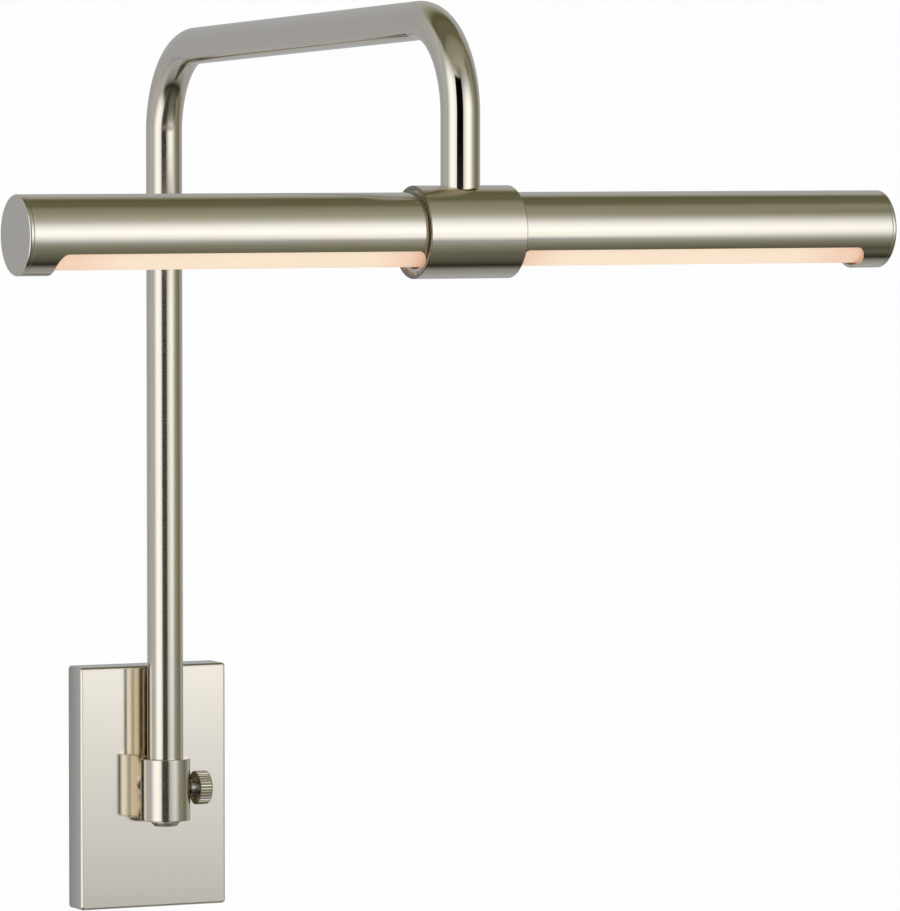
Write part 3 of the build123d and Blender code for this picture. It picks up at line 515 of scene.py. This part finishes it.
ALONG_X, ALONG_Z = (0.02, 1, 1), (1, 1, 0.02)
plate_bevel = (plate_high.x, plate_high.z, -plate_low.y, 0.12)
# painted shade: the plate's sides darken towards the wall, to 0.62 of the tint
plate_shade_by_wall = ("Y", 0.0135, 0.0, 0.62)
# painted shade: the knob's back face, close against the hub, is darker
knob_back_shade = ("X", knob_back + 0.0004, knob_back, 0.58)
# painted shade: the collar's rims, where the lamp head's tube enters, are darker
collar_rim_shade = ("X", collar_high.x - 0.0005, collar_high.x - 0.0002, 0.42)
# painted shade: the knob's nickel is a darker copy of the others
knob_shaded_tint = tuple(0.86 * c for c in NICKEL)
nickel_arm = polished_nickel("nickel_arm", 0.045, softer=0.17)
nickel_plate = polished_nickel("nickel_plate", 0.120, scratch=0.006, bevel=plate_bevel, painted_shade=plate_shade_by_wall)
nickel_head = polished_nickel("nickel_head", 0.150, ALONG_X, 0.020)
nickel_hub = polished_nickel("nickel_hub", 0.170, ALONG_Z)
nickel_knob = polished_nickel("nickel_knob", 0.170, painted_shade=knob_back_shade, tint=knob_shaded_tint)
nickel_collar = polished_nickel("nickel_collar", 0.150, ALONG_X, 0.020, painted_shade=collar_rim_shade)
nickel_plug = polished_nickel("nickel_plug", 0.400)
materials = {
    "polished_nickel": nickel_hub,
    "zinc_steel": plain_metal("zinc_steel", (0.66, 0.67, 0.66), 0.36, ALONG_Z),
    "nylon": plastic("nylon", (0.74, 0.71, 0.62), 0.5),
    "brass": plain_metal("brass", (0.80, 0.61, 0.30), 0.26),
    "frosted_acrylic": lit_diffuser("frosted_acrylic"),
    "aluminium": plain_metal("aluminium", (0.72, 0.73, 0.74), 0.40, ALONG_X),
    "white_circuit_board": circuit_board("white_circuit_board", (0.86, 0.87, 0.84), (0.80, 0.80, 0.74)),
    "led": lit_led("led"),
    "green_circuit_board": circuit_board("green_circuit_board", (0.03, 0.16, 0.07), (0.06, 0.26, 0.10)),
    "black_component": plastic("black_component", (0.035, 0.035, 0.038), 0.5),
    "white_nylon": plastic("white_nylon", (0.80, 0.80, 0.76), 0.45),
    "orange_plastic": plastic("orange_plastic", (0.80, 0.22, 0.03), 0.4),
    "earth_green": plastic("earth_green", (0.02, 0.24, 0.06), 0.4),
    "black_insulation": plastic("black_insulation", (0.03, 0.03, 0.03), 0.42, 400.0),
    "white_insulation": plastic("white_insulation", (0.78, 0.78, 0.75), 0.42, 400.0),
}
slot_of = {entry["node"]: entry["material_slot"] for entry in frame["record"]["subparts"]}
for node, thing in frame["nodes"].items():
    for place in range(max(1, len(thing.material_slots))):
        if not thing.material_slots:
            thing.data.materials.append(None)
        thing.material_slots[place].material = materials[slot_of[node]]


# ---------------------------------------------------------------- mesh helpers
def new_piece(name, node, verts, faces, material, smooth_angle=32):
    """A finished mesh piece that stands for a CAD node and rides on that node's body."""
    mesh = bpy.data.meshes.new(name)
    mesh.from_pydata(verts, [], faces)
    bm = bmesh.new()
    bm.from_mesh(mesh)
    bmesh.ops.recalc_face_normals(bm, faces=bm.faces)
    bm.to_mesh(mesh)
    bm.free()
    piece = bpy.data.objects.new(name, mesh)
    bpy.context.scene.collection.objects.link(piece)
    mesh.materials.append(material)
    shade(piece, smooth_angle)
    if node:
        settle(piece, node)
    return piece


def shade(piece, smooth_angle=32):
    """Smooth shading with sharp corners kept and flat faces kept flat."""
    for polygon in piece.data.polygons:
        polygon.use_smooth = True
    piece.data.set_sharp_from_angle(angle=math.radians(smooth_angle))
    if "even normals" not in piece.modifiers:
        even = piece.modifiers.new("even normals", "WEIGHTED_NORMAL")
        even.keep_sharp = True


def settle(piece, node):
    """The piece stands for the node, which is hidden, and rides on its body."""
    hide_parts(node)
    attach(piece, body_of[node])


def cut(piece, cutters, operation="DIFFERENCE", smooth_angle=32):
    """Applies boolean cutters to a piece and removes them."""
    for cutter in cutters:
        modifier = piece.modifiers.new("cut", "BOOLEAN")
        modifier.operation = operation
        modifier.solver = "EXACT"
        modifier.object = cutter
    even = piece.modifiers.get("even normals")
    if even:
        piece.modifiers.remove(even)
    bpy.context.view_layer.update()
    evaluated = piece.evaluated_get(bpy.context.evaluated_depsgraph_get())
    mesh = bpy.data.meshes.new_from_object(evaluated)
    piece.modifiers.clear()
    piece.data = mesh
    for cutter in cutters:
        bpy.data.objects.remove(cutter)
    shade(piece, smooth_angle)


def rounded(points, radii, steps=6):
    """A profile with each inner corner replaced by an arc of its own radius; 0 keeps it sharp."""
    out = [points[0]]
    for before, corner, after, radius in zip(points, points[1:], points[2:], radii):
        a, b, c = Vector(before), Vector(corner), Vector(after)
        if radius == 0:
            out.append(corner)
            continue
        into, away = (a - b).normalized(), (c - b).normalized()
        half = into.angle(away) / 2
        reach = radius / math.tan(half)
        centre = b + (into + away).normalized() * (radius / math.sin(half))
        start, end = b + into * reach - centre, b + away * reach - centre
        sweep = start.angle_signed(end)
        for step in range(steps + 1):
            spoke = start.copy()
            spoke.rotate(Matrix.Rotation(-sweep * step / steps, 2))
            out.append(tuple(centre + spoke))
    out.append(points[-1])
    return out


def turned(profile, origin, axis, segments=ROUND, closed=False, radius_at=None):
    """Vertices and faces of a profile of (distance along, radius), turned about an axis.

    A closed profile makes a ring; an open one starts and ends in a flat disc.
    radius_at(radius, angle, distance) may shape the section, as for flutes or threads."""
    axis = Vector(axis)
    across = Vector((0, 0, 1)) if abs(axis.z) < 0.5 else Vector((1, 0, 0))
    other = axis.cross(across)
    verts = []
    for distance, radius in profile:
        for step in range(segments):
            angle = 2 * math.pi * step / segments
            r = radius_at(radius, angle, distance) if radius_at else radius
            spoke = across * math.cos(angle) + other * math.sin(angle)
            verts.append(Vector(origin) + axis * distance + spoke * r)
    faces = []
    rings = len(profile)
    for ring in range(rings if closed else rings - 1):
        here, there = ring * segments, (ring + 1) % rings * segments
        for step in range(segments):
            after = (step + 1) % segments
            faces.append((here + step, here + after, there + after, there + step))
    if not closed:
        faces.append(tuple(range(segments)))
        faces.append(tuple(range((rings - 1) * segments, rings * segments)))
    return verts, faces


def cutter(verts, faces):
    return new_piece("cutter", None, verts, faces, nickel_hub)


def round_cutter(origin, axis, radius, start, end, segments):
    """A cutter of one radius, from start to end along an axis."""
    return cutter(*turned([(start, radius), (end, radius)], origin, axis, segments))


def prism(outline, base, direction, length):
    """A straight cutter: an outline of points swept along a direction."""
    step = Vector(direction) * length
    points = [Vector(base) + Vector(point) for point in outline]
    verts = points + [point + step for point in points]
    count = len(points)
    faces = [tuple(range(count)), tuple(range(count, 2 * count))]
    faces += [(i, (i + 1) % count, count + (i + 1) % count, count + i) for i in range(count)]
    return cutter(verts, faces)


def rounded_rectangle(width, height, corner, steps=10):
    """Points of a rounded rectangle about its centre, anticlockwise."""
    points = []
    for quarter, (sx, sy) in enumerate(((1, 1), (-1, 1), (-1, -1), (1, -1))):
        cx, cy = sx * (width / 2 - corner), sy * (height / 2 - corner)
        for step in range(steps + 1):
            angle = math.pi / 2 * (quarter + step / steps)
            points.append((cx + corner * math.cos(angle), cy + corner * math.sin(angle)))
    return points


X, Y, Z = Vector((1, 0, 0)), Vector((0, 1, 0)), Vector((0, 0, 1))


# ---------------------------------------------------------------- wall plate
def make_plate():
    """Hollow plate with eased bevels round its front, built from rounded-rectangle rings."""
    size = plate_high - plate_low
    wall, bevel, corner, inner_corner = 0.0016, 0.0009, 0.0016, 0.0006
    side_ease, face_ease, least_corner = 0.0014, 0.0003, 0.0003
    centre = middle("wall_plate")
    edge = [(0.0, 0.0), (size.y - bevel, 0.0), (size.y, bevel), (size.y, 2 * bevel)]
    rings = [(depth, inset, corner) for depth, inset in rounded(edge, (side_ease, face_ease), 8)]
    inner = [(size.y - wall, wall, inner_corner), (0.0, wall, inner_corner)]
    verts, faces = [], []

    def loop(depth, inset, radius):
        start = len(verts)
        outline = rounded_rectangle(size.x - 2 * inset, size.z - 2 * inset, max(radius - inset, least_corner))
        verts.extend(Vector((centre.x + px, -depth, centre.z + pz)) for px, pz in outline)
        return list(range(start, len(verts)))

    def bridge(first, second):
        count = len(first)
        for i in range(count):
            faces.append((first[i], first[(i + 1) % count], second[(i + 1) % count], second[i]))

    outer_loops = [loop(*ring) for ring in rings]
    for first, second in zip(outer_loops, outer_loops[1:]):
        bridge(first, second)
    faces.append(tuple(outer_loops[-1]))
    inner_loops = [loop(*ring) for ring in inner]
    bridge(inner_loops[0], inner_loops[1])
    faces.append(tuple(inner_loops[0]))
    bridge(inner_loops[1], outer_loops[0])
    plate = new_piece("nickel_wall_plate", None, verts, faces, nickel_plate)
    stem_radius, screw_radius = 0.005, 0.002
    screw = middle("plate_set_screw")
    cut(plate, [
        round_cutter((0, 0, 0), Y, stem_radius, -0.02, 0.0, 48),
        round_cutter((screw.x, screw.y, plate_low.z), Z, screw_radius, -0.004, 0.004, 48),
    ])
    settle(plate, "wall_plate")


make_plate()


# ---------------------------------------------------------------- hub, knob and thumbscrew
def make_hub():
    """Turned socket with a stepped bore, a boss against the plate and the thumbscrew's hole."""
    half = (hub_high.z - hub_low.z) / 2
    bore, lip_bore, lip, rim, lip_edge = 0.0090, tube_radius + 0.00015, 0.0015, 0.00045, 0.0003
    boss_radius, boss_length, stem_bore, screw_hole = 0.0070, 0.0045, 0.0035, 0.00254
    profile = [
        (-half, bore), (-half, hub_radius), (half, hub_radius), (half, lip_bore),
        (half - lip, lip_bore), (half - lip, bore), (-half, bore),
    ]
    section = rounded(profile, (rim, rim, lip_edge, 0, 0), 5)[:-1]
    hub = new_piece("nickel_hub", None, *turned(section, hub_axis, Z, closed=True), nickel_hub)
    plate_face = plate_low.y
    cut(hub, [round_cutter((0, plate_face, 0), -Y, boss_radius, 0.0, boss_length, 96)], "UNION")
    cut(hub, [
        round_cutter(hub_axis, X, screw_hole, 0.0, 0.02, 64),
        round_cutter((0, plate_face + 0.0005, 0), -Y, stem_bore, 0.0, 0.006, 64),
    ])
    settle(hub, "arm_hub")


def make_knob():
    """Fluted knob with a bevelled face and a plain neck."""
    low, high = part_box("thumbscrew_knob")
    radius = (high.z - low.z) / 2
    neck, foot_disc, face_ring, face_disc = 0.0035, 0.0026, 0.0012, 0.0004
    flute_half_width, flute_depth = 0.27, 0.00055     # the width is a part of the flutes' pitch
    face, back, foot = high.x, knob_back, low.x

    def flute(r, angle, distance):
        if r < radius * 0.80:
            return r
        phase = (angle * KNOB_FLUTES / (2 * math.pi)) % 1.0
        groove = max(0.0, 1 - abs(phase - 0.5) / flute_half_width)
        return r - flute_depth * groove

    profile = [
        (foot, foot_disc), (foot, neck), (back, neck), (back, radius), (face, radius), (face, face_ring),
        (face, face_disc),
    ]
    section = rounded(profile, (0.00025, 0.0004, 0.00035, 0.0009, 0), 5)
    knob = turned(section, (0, hub_axis.y, 0), X, KNOB_FLUTES * 12, radius_at=flute)
    settle(new_piece("nickel_knob", None, *knob, nickel_knob, 40), "thumbscrew_knob")


def make_thread(node, radius, bore, material):
    """A threaded rod or hollow nipple: a helical V thread turned along its longest side."""
    low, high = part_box(node)
    size = high - low
    lengthwise = max(range(3), key=lambda i: size[i])
    axis = (X, Y, Z)[lengthwise]
    length = size[lengthwise]
    origin = middle(node) - axis * (length / 2)
    depth = 0.54 * THREAD_PITCH     # about that of a 60 degree thread

    def thread(r, angle, distance):
        if r < radius * 0.98:
            return r
        phase = (distance / THREAD_PITCH - angle / (2 * math.pi)) % 1.0
        fade = min(1.0, distance / THREAD_PITCH, (length - distance) / THREAD_PITCH)
        return r - depth * abs(2 * phase - 1) * max(0.0, fade)

    count = int(length / THREAD_PITCH * 8)
    outer = [(length * i / count, radius) for i in range(count + 1)]
    if bore:
        rod = turned(outer + [(length, bore), (0.0, bore)], origin, axis, 72, True, thread)
    else:
        rod = turned(outer, origin, axis, 72, False, thread)
    settle(new_piece("threaded_" + node, None, *rod, material, 25), node)


make_hub()
make_knob()
make_thread("thumbscrew_shank", 0.0025, 0.0, materials["brass"])
make_thread("hollow_stem", 0.0050, 0.0035, materials["brass"])
make_thread("guide_nipple", 0.0040, 0.0028, materials["brass"])


# ---------------------------------------------------------------- bent arm
def bent_path(corners, radius, step_degrees=1.5):
    """Points and directions along straight runs joined by arcs."""
    path = [(Vector(corners[0]), (Vector(corners[1]) - Vector(corners[0])).normalized())]
    for before, corner, after in zip(corners, corners[1:], corners[2:]):
        a, b, c = Vector(before), Vector(corner), Vector(after)
        into, away = (b - a).normalized(), (c - b).normalized()
        turn = into.angle(away)
        reach = radius * math.tan(turn / 2)
        hinge = into.cross(away).normalized()
        centre = b - into * reach + hinge.cross(into) * radius
        steps = math.ceil(math.degrees(turn) / step_degrees)
        for step in range(steps + 1):
            rotate = Matrix.Rotation(turn * step / steps, 3, hinge)
            path.append((centre - rotate @ (hinge.cross(into) * radius), rotate @ into))
    path.append((Vector(corners[-1]), (Vector(corners[-1]) - Vector(corners[-2])).normalized()))
    return path


def make_arm():
    """The bent tube with its wall-side slot."""
    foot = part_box("arm_tube")[0].z
    bore = tube_radius - TUBE_WALL
    sunk = 0.0012     # the falling leg ends this far inside the collar's wall
    top = (0, hub_axis.y, ARM_RISE)
    front = (0, head.y, ARM_RISE + ARM_CLIMB)
    end = (0, head.y, head.z + collar_radius - sunk)
    path = bent_path([(0, hub_axis.y, foot), top, front, end], BEND_RADIUS)
    segments = 128
    verts, faces = [], []
    for radius in (tube_radius, bore):
        for point, along in path:
            other = along.cross(X).normalized()
            for step in range(segments):
                angle = 2 * math.pi * step / segments
                verts.append(point + (X * math.cos(angle) + other * math.sin(angle)) * radius)
    rings = len(path)
    for wall in (0, 1):
        start = wall * rings * segments
        for ring in range(rings - 1):
            for step in range(segments):
                after = (step + 1) % segments
                here, there = start + ring * segments, start + (ring + 1) * segments
                faces.append((here + step, here + after, there + after, there + step))
    for ring in (0, rings - 1):
        for step in range(segments):
            after = (step + 1) % segments
            out, inn = ring * segments, (rings + ring) * segments
            faces.append((out + step, out + after, inn + after, inn + step))
    arm = new_piece("nickel_arm_tube", None, verts, faces, nickel_arm)
    slot_width, slot_corner, slot_low, slot_high = 0.0040, 0.0003, -0.0105, 0.0855
    outline = [(x, 0, z) for x, z in rounded_rectangle(slot_width, slot_high - slot_low, slot_corner, 3)]
    cut(arm, [prism(outline, (0, hub_axis.y, (slot_low + slot_high) / 2), Y, 0.012)])
    settle(arm, "arm_tube")


def make_end_plug():
    """Bevelled plug in the tube's foot."""
    low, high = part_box("end_plug")
    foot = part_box("arm_tube")[0].z
    head_radius, chamfer, band, disc = 0.0065, 0.0015, 0.0009, 0.0005
    spigot = (high.x - low.x) / 2 - 0.0001
    profile = [
        (low.z, disc), (low.z, head_radius - chamfer), (foot - band, head_radius), (foot, head_radius),
        (foot, spigot), (high.z, spigot), (high.z, disc),
    ]
    section = rounded(profile, (0.0004, 0.0003, 0.0002, 0, 0.0004))
    plug = new_piece("nickel_end_plug", None, *turned(section, hub_axis, Z, 128), nickel_plug)
    settle(plug, "end_plug")


make_arm()
make_end_plug()


# ---------------------------------------------------------------- collar and lamp head
def sleeve_profile(half, bore, radius):
    """Outline of a sleeve's wall, from the middle of its bore round to there again."""
    return [(0.0, bore), (-half, bore), (-half, radius), (half, radius), (half, bore), (0.0, bore)]


def make_collar():
    """Turned collar with eased rims and a hole for the falling leg."""
    half = (collar_high.x - collar_low.x) / 2
    bore = collar_radius - COLLAR_WALL
    leg_hole = tube_radius - 0.0001
    section = rounded(sleeve_profile(half, bore, collar_radius), (0.0008, 0.0004, 0.0004, 0.0008), 6)[:-1]
    collar = new_piece("nickel_collar", None, *turned(section, head, X, 256, True), nickel_collar)
    cut(collar, [round_cutter(head, Z, leg_hole, 0.0, 0.03, 96)])
    settle(collar, "collar")


def make_shade():
    """Tube with two windows below; the guide's arc slot above is not cut."""
    half = (shade_high.x - shade_low.x) / 2
    bore = shade_radius - TUBE_WALL
    section = rounded(sleeve_profile(half, bore, shade_radius), (0.0002, 0.00015, 0.00015, 0.0002), 3)[:-1]
    tube = new_piece("nickel_shade_tube", None, *turned(section, head, X, 320, True), nickel_head)
    cap_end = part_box("end_cap_right")[1].x
    outer, inner = cap_end - WINDOW_OUTER_INSET, collar_high.x - WINDOW_LAP
    width = 2 * shade_radius * math.sin(WINDOW_HALF_ANGLE)
    outline = [(x, y, 0) for x, y in rounded_rectangle(outer - inner, width, WINDOW_CORNER)]
    windows = [
        prism(outline, (side * (outer + inner) / 2, head.y, head.z - 2 * shade_radius), Z, 2 * shade_radius)
        for side in (-1, 1)
    ]
    cut(tube, windows)
    settle(tube, "shade_tube")


def make_end_caps():
    """Flush caps with a bevelled rim and a fine joint line against the tube."""
    for side, node in ((-1, "end_cap_left"), (1, "end_cap_right")):
        low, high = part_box(node)
        length = high.x - low.x
        band, disc, spigot_wall = 0.00185, 0.0006, 0.0016
        outer = high.x if side > 0 else low.x
        spigot = shade_radius - 0.00130
        hollow = spigot - spigot_wall
        profile = [
            (0.0, disc), (0.0, shade_radius), (-band, shade_radius), (-band, spigot), (-length, spigot),
            (-length, hollow), (-band, hollow), (-band, disc),
        ]
        section = rounded(profile, (0.0009, 0.00015, 0, 0.0003, 0, 0), 7)
        cap = turned(section, (outer, head.y, head.z), X * side, 256)
        settle(new_piece("nickel_" + node, None, *cap, nickel_head), node)


make_collar()
make_shade()
make_end_caps()


# ---------------------------------------------------------------- small pieces in the plate
def make_connectors():
    """Twist-on wire connectors with ribbed, tapering sides."""
    low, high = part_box("wire_connectors")
    radius = (high.y - low.y) / 2
    length = high.z - low.z
    centre_x = high.x - radius
    both_verts, both_faces = [], []

    def rib(r, angle, distance):
        ridge = 0.5 + 0.5 * math.cos(angle * 12)
        near_mouth = 1.0 if distance > length * 0.22 else 0.0
        return r - 0.00035 * (1 - ridge) * near_mouth

    profile = [
        (length, radius * 0.55), (length, radius), (length * 0.80, radius), (length * 0.72, radius * 0.93),
        (length * 0.10, radius * 0.72), (0.0, radius * 0.60), (0.0, radius * 0.1),
    ]
    section = rounded(profile, (0.0003, 0.0003, 0.0003, 0.002, 0.0008), 4)
    for side in (-1, 1):
        verts, faces = turned(section, (side * centre_x, (low.y + high.y) / 2, low.z), Z, 96, radius_at=rib)
        start = len(both_verts)
        both_verts += verts
        both_faces += [tuple(start + i for i in face) for face in faces]
    caps = new_piece("ribbed_connectors", None, both_verts, both_faces, materials["orange_plastic"])
    settle(caps, "wire_connectors")


make_connectors()
EASED = {
    "mounting_strap": 0.0003, "ground_lug": 0.0001, "ground_screw": 0.0003, "stem_nut": 0.0004,
    "terminal_block": 0.0003, "driver_parts": 0.0002, "plate_set_screw": 0.0001, "leds_left": 0.0001,
    "leds_right": 0.0001,
}
for node, width in EASED.items():
    edge = frame["nodes"][node].modifiers.new("eased edges", "BEVEL")
    edge.width = width
    edge.segments = 2
    edge.limit_method = "ANGLE"
    edge.angle_limit = math.radians(35)
